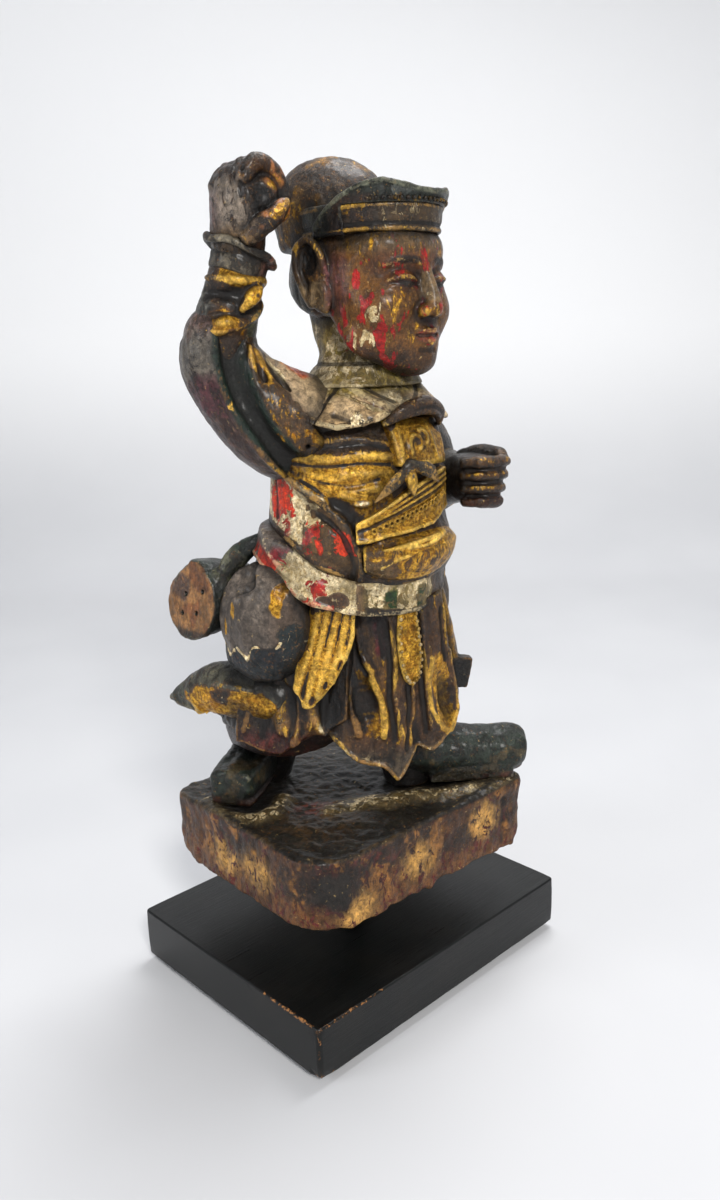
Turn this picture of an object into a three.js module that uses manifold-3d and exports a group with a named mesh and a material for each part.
// Carved and painted wooden temple figure on a black display stand.
// Millimetres, +Z up. The figure faces -Y and its right hand is on the -X side.
// Origin: centre of the stand's underside. The stand is a board with a turned steel post, and the
// figure, with its rockwork base, drops onto the post.

import * as THREE from "three";
import { mergeVertices } from "three/addons/utils/BufferGeometryUtils.js";
import Module from "manifold-3d";

const wasm = await Module();
wasm.setup();

// ---------------------------------------------------------------- driving dimensions

const GAP = 0.3; // clearance left between neighbouring pieces

const FELT = { thick: 1, inset: 2 };
const PLINTH = { width: 127, depth: 102, height: 19, bevel: 0.8 };
const ROCK = {
  width: 103,
  depth: 89,
  height: 27,
  clear: 21, // air between the plinth and the rock
  bevel: 1.5,
  skew: THREE.MathUtils.degToRad(-2.7), // the figure sits a little askew on its plinth
  corners: [[-1, -1, 16], [1, -1, 7], [1, 1, 11], [-1, 1, 7]], // signs of x and y, and radius
};
const POST = { radius: 4, threadRadius: 3, flangeRadius: 7, flange: 2, socketDepth: 18 };
const NUT = { acrossFlats: 10, height: 4.5, washerRadius: 7.5, washer: 1.2, pocketRadius: 9.5 };
const PEG = { radius: 2, length: 14 };

const PLINTH_TOP = FELT.thick + PLINTH.height;
const ROCK_BOTTOM = PLINTH_TOP + ROCK.clear;
const ROCK_TOP = ROCK_BOTTOM + ROCK.height;
const STRIDE = THREE.MathUtils.degToRad(-43.5); // the feet stand apart along this direction

// ---------------------------------------------------------------- finishes

const finish = (color, roughness, metalness = 0) =>
  new THREE.MeshStandardMaterial({ color, roughness, metalness });

const FINISH = {
  felt: finish(0x1c1c1e, 0.95),
  ebonised: finish(0x15171a, 0.45),
  steel: finish(0x2a2b2d, 0.4, 1),
  rock: finish(0x4f3526, 0.6),
  boot: finish(0x2f3532, 0.5),
  gilt: finish(0xa87a2a, 0.4, 0.5),
  robe: finish(0x55402c, 0.6),
  armour: finish(0x56504e, 0.55),
  red: finish(0x96382c, 0.6),
  cape: finish(0x9a8570, 0.6),
  sleeve: finish(0x403a30, 0.5),
  skin: finish(0x6d4a30, 0.5),
  hat: finish(0x2c3330, 0.5),
  crown: finish(0x5b4a33, 0.65),
  bare: finish(0x8f6b4a, 0.75),
};

// ---------------------------------------------------------------- solids from three.js geometry

function solidOf(geometry) {
  const bare = geometry.clone();
  bare.deleteAttribute("normal");
  bare.deleteAttribute("uv");
  const merged = mergeVertices(bare, 1e-4);
  return new wasm.Manifold(
    new wasm.Mesh({
      numProp: 3,
      vertProperties: merged.attributes.position.array,
      triVerts: merged.index.array,
    }),
  );
}

function geometryOf(solid) {
  const mesh = solid.getMesh();
  const geometry = new THREE.BufferGeometry();
  geometry.setAttribute("position", new THREE.BufferAttribute(mesh.vertProperties, mesh.numProp));
  geometry.setIndex(new THREE.BufferAttribute(mesh.triVerts, 1));
  geometry.computeVertexNormals();
  return geometry;
}

// The largest body of a solid, without the slivers that a cut leaves.
const largest = (solid) => solid.decompose().sort((a, b) => b.volume() - a.volume())[0];

const curve = (points) =>
  new THREE.CatmullRomCurve3(points.map((p) => new THREE.Vector3(p[0], p[1], p[2] ?? 0)));

// A closed solid with elliptical rings strung along a path of [x, y, z] points. radii holds each
// point's [across, deep] half widths. Level rings stay horizontal and may be turned about Z; the
// others stand square to the path, with across measured square to the reference direction.
// square above 2 makes the rings boxier.
function loft(path, radii, options = {}) {
  const { sides = 16, steps = 2 * path.length, square = 2, level = false, turn = 0 } = options;
  const { reference = [0, 0, 1] } = options;
  return (grow = 0) => {
    const spine = curve(path);
    const widths = curve(radii);
    const rise = Math.sign((path.at(-1)[2] ?? 0) - (path[0][2] ?? 0));
    const geometry = new THREE.CylinderGeometry(1, 1, 1, sides, steps);
    const position = geometry.attributes.position;
    const point = new THREE.Vector3();
    for (let i = 0; i < position.count; i++) {
      point.fromBufferAttribute(position, i);
      const along = point.y + 0.5;
      const tangent = level ? new THREE.Vector3(0, 0, rise) : spine.getTangent(along);
      const across = level
        ? new THREE.Vector3(Math.cos(turn), Math.sin(turn), 0)
        : new THREE.Vector3(...reference).cross(tangent).normalize();
      const deep = tangent.clone().cross(across);
      const radius = Math.hypot(point.x, point.z);
      const angle = Math.atan2(-point.z, point.x);
      const swell = (value) =>
        Math.abs(value) < 1e-9 ? 0 : Math.sign(value) * Math.abs(value) ** (2 / square);
      const width = widths.getPoint(along);
      const centre = spine.getPoint(along);
      centre.addScaledVector(tangent, grow * (2 * along - 1));
      centre.addScaledVector(across, radius * (width.x + grow) * swell(Math.cos(angle)));
      centre.addScaledVector(deep, radius * (width.y + grow) * swell(Math.sin(angle)));
      position.setXYZ(i, centre.x, centre.y, centre.z);
    }
    return solidOf(geometry);
  };
}

// An ellipsoid, tilted by Euler angles in degrees.
function ball(centre, radii, tilt = [0, 0, 0], detail = 16) {
  return (grow = 0) => {
    const geometry = new THREE.SphereGeometry(1, detail, Math.round(detail * 0.6));
    geometry.scale(...radii.map((r) => r + grow));
    turnAndPlace(geometry, centre, tilt);
    return solidOf(geometry);
  };
}

function block(centre, size, tilt = [0, 0, 0]) {
  return (grow = 0) => {
    const geometry = new THREE.BoxGeometry(...size.map((s) => s + 2 * grow));
    turnAndPlace(geometry, centre, tilt);
    return solidOf(geometry);
  };
}

function rod(centre, radius, length, tilt = [0, 0, 0], sides = 16) {
  return (grow = 0) => {
    const geometry = new THREE.CylinderGeometry(radius + grow, radius + grow, length + 2 * grow, sides);
    geometry.rotateX(Math.PI / 2);
    turnAndPlace(geometry, centre, tilt);
    return solidOf(geometry);
  };
}

function turnAndPlace(geometry, centre, tilt) {
  const euler = new THREE.Euler(...tilt.map(THREE.MathUtils.degToRad));
  geometry.applyQuaternion(new THREE.Quaternion().setFromEuler(euler));
  geometry.translate(...centre);
}

// Several shapes joined into one.
const joined = (...shapes) => (grow = 0) =>
  shapes.map((shape) => shape(grow)).reduce((sum, solid) => sum.add(solid));

// The part of a shape that lies inside another, such as a plate that follows a curved chest.
const within = (shape, region) => (grow = 0) => shape(grow).intersect(region(grow));

// ---------------------------------------------------------------- assembly

const group = new THREE.Group();
const placed = [];

// Adds a piece. It gives way, with a gap, to every piece placed before it, and to its own holes.
function place(name, material, shape, holes = []) {
  let solid = shape(0);
  for (const other of [...placed, ...holes.map((hole) => hole(0))]) solid = solid.subtract(other);
  const mesh = new THREE.Mesh(geometryOf(largest(solid)), material);
  mesh.name = name;
  group.add(mesh);
  placed.push(shape(GAP));
}

// ---------------------------------------------------------------- stand

function stand() {
  const { width, depth, height, bevel } = PLINTH;
  const middle = FELT.thick + height / 2;
  const pocketTop = FELT.thick + 8;
  const washerTop = pocketTop - GAP;
  const nutTop = washerTop - NUT.washer - GAP;
  const flangeBottom = PLINTH_TOP + GAP;
  const postTop = ROCK_BOTTOM + POST.socketDepth - GAP;

  const profile = [
    [0, FELT.thick + 1],
    [POST.threadRadius, FELT.thick + 1],
    [POST.threadRadius, flangeBottom],
    [POST.flangeRadius, flangeBottom],
    [POST.flangeRadius, flangeBottom + POST.flange],
    [POST.radius, flangeBottom + POST.flange],
    [POST.radius, postTop - 1],
    [POST.radius - 1, postTop],
    [0, postTop],
  ];
  const post = (grow = 0) => {
    const outline = profile.map(([r, z]) => new THREE.Vector2(r && r + grow, z));
    const geometry = new THREE.LatheGeometry(outline, 20);
    geometry.rotateX(Math.PI / 2);
    return solidOf(geometry);
  };
  place("mounting_post", FINISH.steel, post);

  const nutRadius = NUT.acrossFlats / Math.sqrt(3);
  place("post_washer", FINISH.steel, rod([0, 0, washerTop - NUT.washer / 2], NUT.washerRadius, NUT.washer));
  place("post_nut", FINISH.steel, rod([0, 0, nutTop - NUT.height / 2], nutRadius, NUT.height, [0, 0, 0], 6));

  const outline = new THREE.Shape();
  const x = width / 2 - bevel;
  const y = depth / 2 - bevel;
  outline.moveTo(-x, -y).lineTo(x, -y).lineTo(x, y).lineTo(-x, y).closePath();
  const board = () => {
    const geometry = new THREE.ExtrudeGeometry(outline, {
      depth: height - 2 * bevel,
      bevelThickness: bevel,
      bevelSize: bevel,
      bevelSegments: 1,
    });
    geometry.translate(0, 0, FELT.thick + bevel);
    return solidOf(geometry);
  };
  const pocket = rod([0, 0, pocketTop - 5], NUT.pocketRadius, 10);
  const bore = rod([0, 0, middle], POST.threadRadius + GAP, height + 2);
  place("plinth", FINISH.ebonised, board, [pocket, bore]);

  const felt = [width - 2 * FELT.inset, depth - 2 * FELT.inset, FELT.thick - GAP / 2];
  place("felt_underlay", FINISH.felt, block([0, 0, felt[2] / 2], felt));
}

// ---------------------------------------------------------------- rockwork base

function rockwork() {
  const { width, depth, height, bevel, corners, skew } = ROCK;
  const outline = new THREE.Shape();
  corners.forEach(([signX, signY, radius], index) => {
    const x = signX * (width / 2 - bevel - radius);
    const y = signY * (depth / 2 - bevel - radius);
    const start = Math.PI + (index * Math.PI) / 2;
    outline.absarc(x, y, radius, start, start + Math.PI / 2);
  });
  outline.closePath();
  const slab = () => {
    const geometry = new THREE.ExtrudeGeometry(outline, {
      depth: height - 2 * bevel,
      bevelThickness: bevel,
      bevelSize: bevel,
      bevelSegments: 1,
      curveSegments: 5,
    });
    geometry.rotateZ(skew);
    geometry.translate(0, 0, ROCK_BOTTOM + bevel);
    return solidOf(geometry);
  };
  const chippedCorner = block([-54, 46, ROCK_BOTTOM], [24, 24, 14], [30, 30, 0]);
  const socket = rod([0, 0, ROCK_BOTTOM + POST.socketDepth / 2], POST.radius + GAP, POST.socketDepth);
  place("rockwork_base", FINISH.rock, slab, [socket, chippedCorner]);
}

// ---------------------------------------------------------------- legs and boots

function legs() {
  const rightBoot = loft(
    [[-15, 31, 79], [-22, 27.5, 77], [-32, 22, 75.5], [-42, 16.5, 74.5]],
    [[8.5, 10.5], [8, 8.5], [8.5, 7], [8.5, 6]],
    { square: 2.6, steps: 5 },
  );
  const leftBoot = loft(
    [[20, -16, 80], [28, -22.5, 79], [39, -31.5, 78], [51, -40.5, 77]],
    [[9, 11], [8.5, 10], [8, 9.5], [8.4, 8.4]],
    { square: 2.3, steps: 5 },
  );
  place("right_boot", FINISH.boot, rightBoot);
  place("left_boot", FINISH.boot, leftBoot);
  const leg = (foot, knee) =>
    loft([foot, knee], [[8.5, 8.5], [11, 11]], { level: true, sides: 12, steps: 2 });
  place("right_trouser_leg", FINISH.robe, leg([-16, 29, 69], [-13, 20, 100]));
  place("left_trouser_leg", FINISH.robe, leg([18, -14, 69], [13, -11, 96]));
}

// ---------------------------------------------------------------- head and hat

const HEAD = { x: 4, y: -14, turn: THREE.MathUtils.degToRad(-12) };

// A level loft in the head's own frame: x to its left, y to its back, z from the stand's underside.
function headLoft(path, radii, options = {}) {
  const turned = path.map(([x, y, z]) => [
    HEAD.x + x * Math.cos(HEAD.turn) - y * Math.sin(HEAD.turn),
    HEAD.y + x * Math.sin(HEAD.turn) + y * Math.cos(HEAD.turn),
    z,
  ]);
  return loft(turned, radii, { level: true, turn: HEAD.turn, ...options });
}

function head() {
  const face = headLoft(
    [[0, -11, 220.5], [0, -7, 225.5], [0, -2, 237], [0, -0.5, 251], [0, 0, 264]],
    [[9, 9], [16.5, 18.5], [20.5, 25], [21.4, 26.5], [20.8, 26]],
    { sides: 20, steps: 6 },
  );
  const nose = headLoft(
    [[0, -26, 252], [0, -27.6, 245], [0, -28.6, 241], [0, -26, 239]],
    [[1.8, 2], [2.4, 2.4], [3.6, 2.6], [3, 1.6]],
    { sides: 8, steps: 3 },
  );
  const ear = (side) =>
    headLoft(
      [[side * 20.4, 3, 263], [side * 22, 4, 257], [side * 21.4, 2, 247], [side * 19.8, 1, 240]],
      [[1.6, 2.4], [2.2, 5], [2, 3.6], [1.8, 2.6]],
      { sides: 10, steps: 3 },
    );
  const band = headLoft(
    [[0, 0, 264.5], [0, 0, 271.5]],
    [[21.8, 26.8], [22, 27]],
    { sides: 20, steps: 1 },
  );
  const crown = ball([1.5, -1, 272], [19.5, 21, 18.5], [8, 0, 0], 16);
  const visorArch = headLoft(
    [[0, -29, 262], [0, -29, 271], [0, -28, 275.5], [0, -27, 279.5]],
    [[26, 14], [24, 15], [17, 14], [7, 8]],
    { steps: 4 },
  );
  const visor = within(
    headLoft([[0, 0, 271.8], [0, -1, 280]], [[22.4, 27.4], [24, 29.6]], { sides: 20, steps: 2 }),
    visorArch,
  );
  place("hat_visor", FINISH.hat, visor);
  place("hat_band", FINISH.hat, band);
  place("hat_crown", FINISH.crown, crown);
  place("head", FINISH.skin, joined(face, nose, ear(-1), ear(1)));
}

// ---------------------------------------------------------------- arms

function arms() {
  const rightFist = loft(
    [[-38.6, -1.6, 260.2], [-37.6, -3.4, 266], [-35, -6, 275], [-31.5, -7.5, 285.5]],
    [[7.5, 8], [10.6, 11.6], [10.6, 12], [7, 8]],
    { reference: [0, 1, 0], square: 2.8, steps: 6 },
  );
  const leftFist = loft(
    [[33.5, -24.5, 183], [33, -30, 183.5], [31.5, -38, 184], [30, -44, 184]],
    [[6.5, 8], [8.5, 11], [9, 11.5], [7, 9.5]],
    { square: 2.8, steps: 6 },
  );
  place("right_fist_peg", FINISH.bare, rod([-38.8, -0.9, 258], PEG.radius, PEG.length, [-14, 8, 0], 10));
  place("left_fist_peg", FINISH.bare, rod([34.2, -22.5, 182.6], PEG.radius, PEG.length, [90, 0, 0], 10));
  place("right_arm_peg", FINISH.bare, rod([-30, -5, 200], PEG.radius, PEG.length, [0, 90, 0], 10));
  place("left_arm_peg", FINISH.bare, rod([32, -8, 193], PEG.radius, PEG.length, [0, 90, 0], 10));
  place("right_fist", FINISH.skin, rightFist);
  place("left_fist", FINISH.skin, leftFist);

  const cuff = loft(
    [[-39.9, 0.4, 254], [-39.4, -0.4, 257], [-38.8, -1.3, 259.8]],
    [[9.4, 9.6], [11.2, 11.6], [10.6, 11]],
    { reference: [0, 1, 0], steps: 3 },
  );
  const forearm = loft(
    [[-42.6, 6.2, 231.5], [-41.6, 3.8, 240], [-40.6, 1.6, 247.5], [-39.9, 0.2, 254.2]],
    [[12, 12], [11, 11.4], [10, 10.4], [8.6, 9]],
    { reference: [0, 1, 0], steps: 5 },
  );
  const upperArm = loft(
    [[-19, -4.5, 203], [-27, -1.5, 207], [-35.5, 3.4, 216], [-41.8, 6.8, 226], [-42.6, 6, 233]],
    [[18, 17.5], [17, 16.5], [14.5, 14], [12.8, 12.6], [11.6, 11.6]],
    { reference: [0, 1, 0], steps: 7 },
  );
  place("right_sleeve_cuff", FINISH.gilt, cuff);
  place("right_forearm", FINISH.sleeve, forearm);

  const leftUpper = loft(
    [[25, -8, 197], [33, -7, 192], [38, -6, 184], [39, -7, 178]],
    [[14, 14], [13.5, 14], [11.5, 12], [7, 7]],
    { reference: [0, 1, 0], steps: 5 },
  );
  const leftForearm = loft(
    [[38.5, -5, 180], [37, -12, 181], [35, -20, 182.4], [34, -26, 183]],
    [[9, 10], [10, 11], [9.4, 10.4], [8.8, 10]],
    { steps: 4 },
  );
  place("left_forearm", FINISH.sleeve, leftForearm);
  return { upperArm, leftUpper };
}

// ---------------------------------------------------------------- torso and its dress

const TORSO_PATH = [[0, -4, 148], [1.5, -8.5, 162], [1.5, -9, 176], [1.5, -9.5, 190], [2, -9.5, 206]];
const TORSO_RADII = [[33, 27], [35, 29], [33, 27.5], [32.5, 26.5], [29, 21]];
const TORSO_RINGS = { level: true, sides: 20, steps: 5 };
const torsoSkin = (proud) =>
  loft(TORSO_PATH, TORSO_RADII.map(([a, b]) => [a + proud, b + proud]), TORSO_RINGS);

function dress(limbs) {
  const cape = loft(
    [[2, -9, 203], [2, -9.5, 208], [2, -10, 214], [3, -11, 221.5]],
    [[34, 26.5], [32, 24.5], [25, 20], [14, 14]],
    { level: true, sides: 20, steps: 4 },
  );
  const neck = loft(
    [[3, -11.5, 221.8], [3.4, -12.5, 226], [4, -13.5, 230]],
    [[13.5, 13.5], [12, 12], [12, 12.5]],
    { level: true, steps: 3 },
  );
  place("shoulder_cape", FINISH.cape, cape);
  place("neck", FINISH.cape, neck);

  const breastplate = within(torsoSkin(2.6), block([6.5, -34, 198], [20, 16, 13]));
  const bow = joined(
    ball([-1.5, -36, 186.5], [2.8, 3.4, 8], [0, 28, 0], 12),
    ball([5, -37, 187], [3.4, 3.4, 5.5], [0, 0, 0], 12),
    ball([12, -36, 188.5], [2.8, 3.4, 7], [0, -42, 0], 12),
  );
  const band = (from, to, height, proud) =>
    within(
      torsoSkin(proud),
      block(
        [(from[0] + to[0]) / 2, -34, (from[1] + to[1]) / 2],
        [Math.hypot(to[0] - from[0], to[1] - from[1]), 24, height],
        [0, -THREE.MathUtils.radToDeg(Math.atan2(to[1] - from[1], to[0] - from[0])), 0],
      ),
    );
  place("breastplate", FINISH.gilt, breastplate);
  place("ribbon_bow", FINISH.armour, bow);
  place("beaded_sash", FINISH.gilt, band([-14, 169], [24, 184], 9, 2.4));
  place("belly_belt", FINISH.gilt, band([-15, 160.5], [28, 158], 13, 3));

  const peplum = loft(
    [[-2, -2.5, 143], [-1, -4, 150], [0, -5.5, 160], [0.5, -7, 172]],
    [[39, 32.5], [38.5, 32], [38, 30], [35.5, 28.5]],
    { level: true, sides: 20, steps: 4 },
  );
  place("torso", FINISH.gilt, torsoSkin(0));
  place("right_sleeve", FINISH.sleeve, limbs.upperArm);
  place("left_sleeve", FINISH.sleeve, limbs.leftUpper);

  const tongue = loft(
    [[-1.5, -38.6, 113], [0, -38.5, 117], [0.6, -37.8, 128], [1, -36.5, 140]],
    [[2, 1.2], [4.4, 2], [5, 2], [4.6, 2]],
    { level: true, sides: 8, steps: 4 },
  );
  place("apron_tongue", FINISH.gilt, tongue);

  const rightTasset = loft(
    [[-34, 0, 159], [-37, 1, 150], [-39.5, 1.5, 138], [-38.5, 1, 126], [-35, 0, 116.5]],
    [[9, 10], [9.5, 19], [9, 21], [8.5, 18], [5, 9]],
    { level: true, sides: 16, steps: 6, turn: THREE.MathUtils.degToRad(14) },
  );
  const leftTasset = loft(
    [[33, -6, 156], [35.5, -6, 148], [37, -6, 136], [36, -6, 122], [33, -6, 114]],
    [[6, 9], [6, 15], [6, 17], [6, 14], [4, 7]],
    { level: true, sides: 14, steps: 5 },
  );
  const ribbon = loft(
    [[27, -30, 136], [29.5, -32, 124], [33, -33.5, 108]],
    [[2, 4.6], [1.8, 4.8], [1.8, 4.4]],
    { level: true, sides: 8, steps: 4, turn: STRIDE },
  );
  place("tail_stub_peg", FINISH.bare, rod([-33, 25, 146], PEG.radius, PEG.length, [0, 90, -12], 10));
  const tailStub = loft(
    [[-32.5, 22, 147], [-37, 24.5, 146.5], [-42, 26.5, 145], [-46, 28, 143.5]],
    [[8, 9], [10, 12], [9.8, 14], [8.6, 14]],
    { square: 2.4, steps: 4 },
  );
  place("sash_tail_stub", FINISH.bare, tailStub);
  place("hanging_ribbon", FINISH.robe, ribbon);
  place("right_tasset", FINISH.armour, rightTasset);
  place("left_tasset", FINISH.armour, leftTasset);
  place("hip_peplum", FINISH.red, peplum);
}

// ---------------------------------------------------------------- robe skirt

function skirt() {
  const shape = (scale, top, bottom) =>
    loft(
      [[-2, 0, bottom], [-1.5, 0, bottom + 10], [-0.5, -1, (top + bottom) / 2], [0, -3, top]],
      [[47 * scale, 31 * scale], [44 * scale, 30.5 * scale], [40 * scale, 30.5 * scale], [35 * scale, 29 * scale]],
      { level: true, sides: 20, turn: STRIDE, steps: 4 },
    );
  const outer = shape(1, 142.5, 95);
  const goldPleats = within(shape(1.07, 142, 112), block([-27, -24, 128], [24, 44, 34], [0, 0, 40]));
  const frontPanel = loft(
    [[6, -24, 84], [7, -25, 92], [6, -23, 106], [5, -21, 122], [4, -20, 142]],
    [[20, 12], [25, 13.5], [26, 14], [25, 14.5], [22, 14]],
    { level: true, sides: 18, steps: 5, turn: THREE.MathUtils.degToRad(-12) },
  );
  const rearHem = loft(
    [[-29, 10, 116], [-34, 21, 114], [-38, 33, 109.5], [-42, 45.5, 104]],
    [[11, 13], [10, 13], [7, 9], [2, 2]],
    { sides: 12 },
  );
  const underRobe = loft(
    [[-17, 18, 85], [-16, 17, 95.4]],
    [[19, 15], [22, 17]],
    { level: true, sides: 16, turn: STRIDE, steps: 1 },
  );
  place("front_robe_panel", FINISH.robe, frontPanel);
  place("gilt_pleats", FINISH.gilt, goldPleats);
  place("rear_robe_hem", FINISH.gilt, rearHem);
  place("robe_skirt", FINISH.robe, outer);
  place("under_robe", FINISH.red, underRobe);
}

// ---------------------------------------------------------------- build order: first come, first kept

stand();
head();
const limbs = arms();
dress(limbs);
skirt();
legs();
rockwork();

export default group;
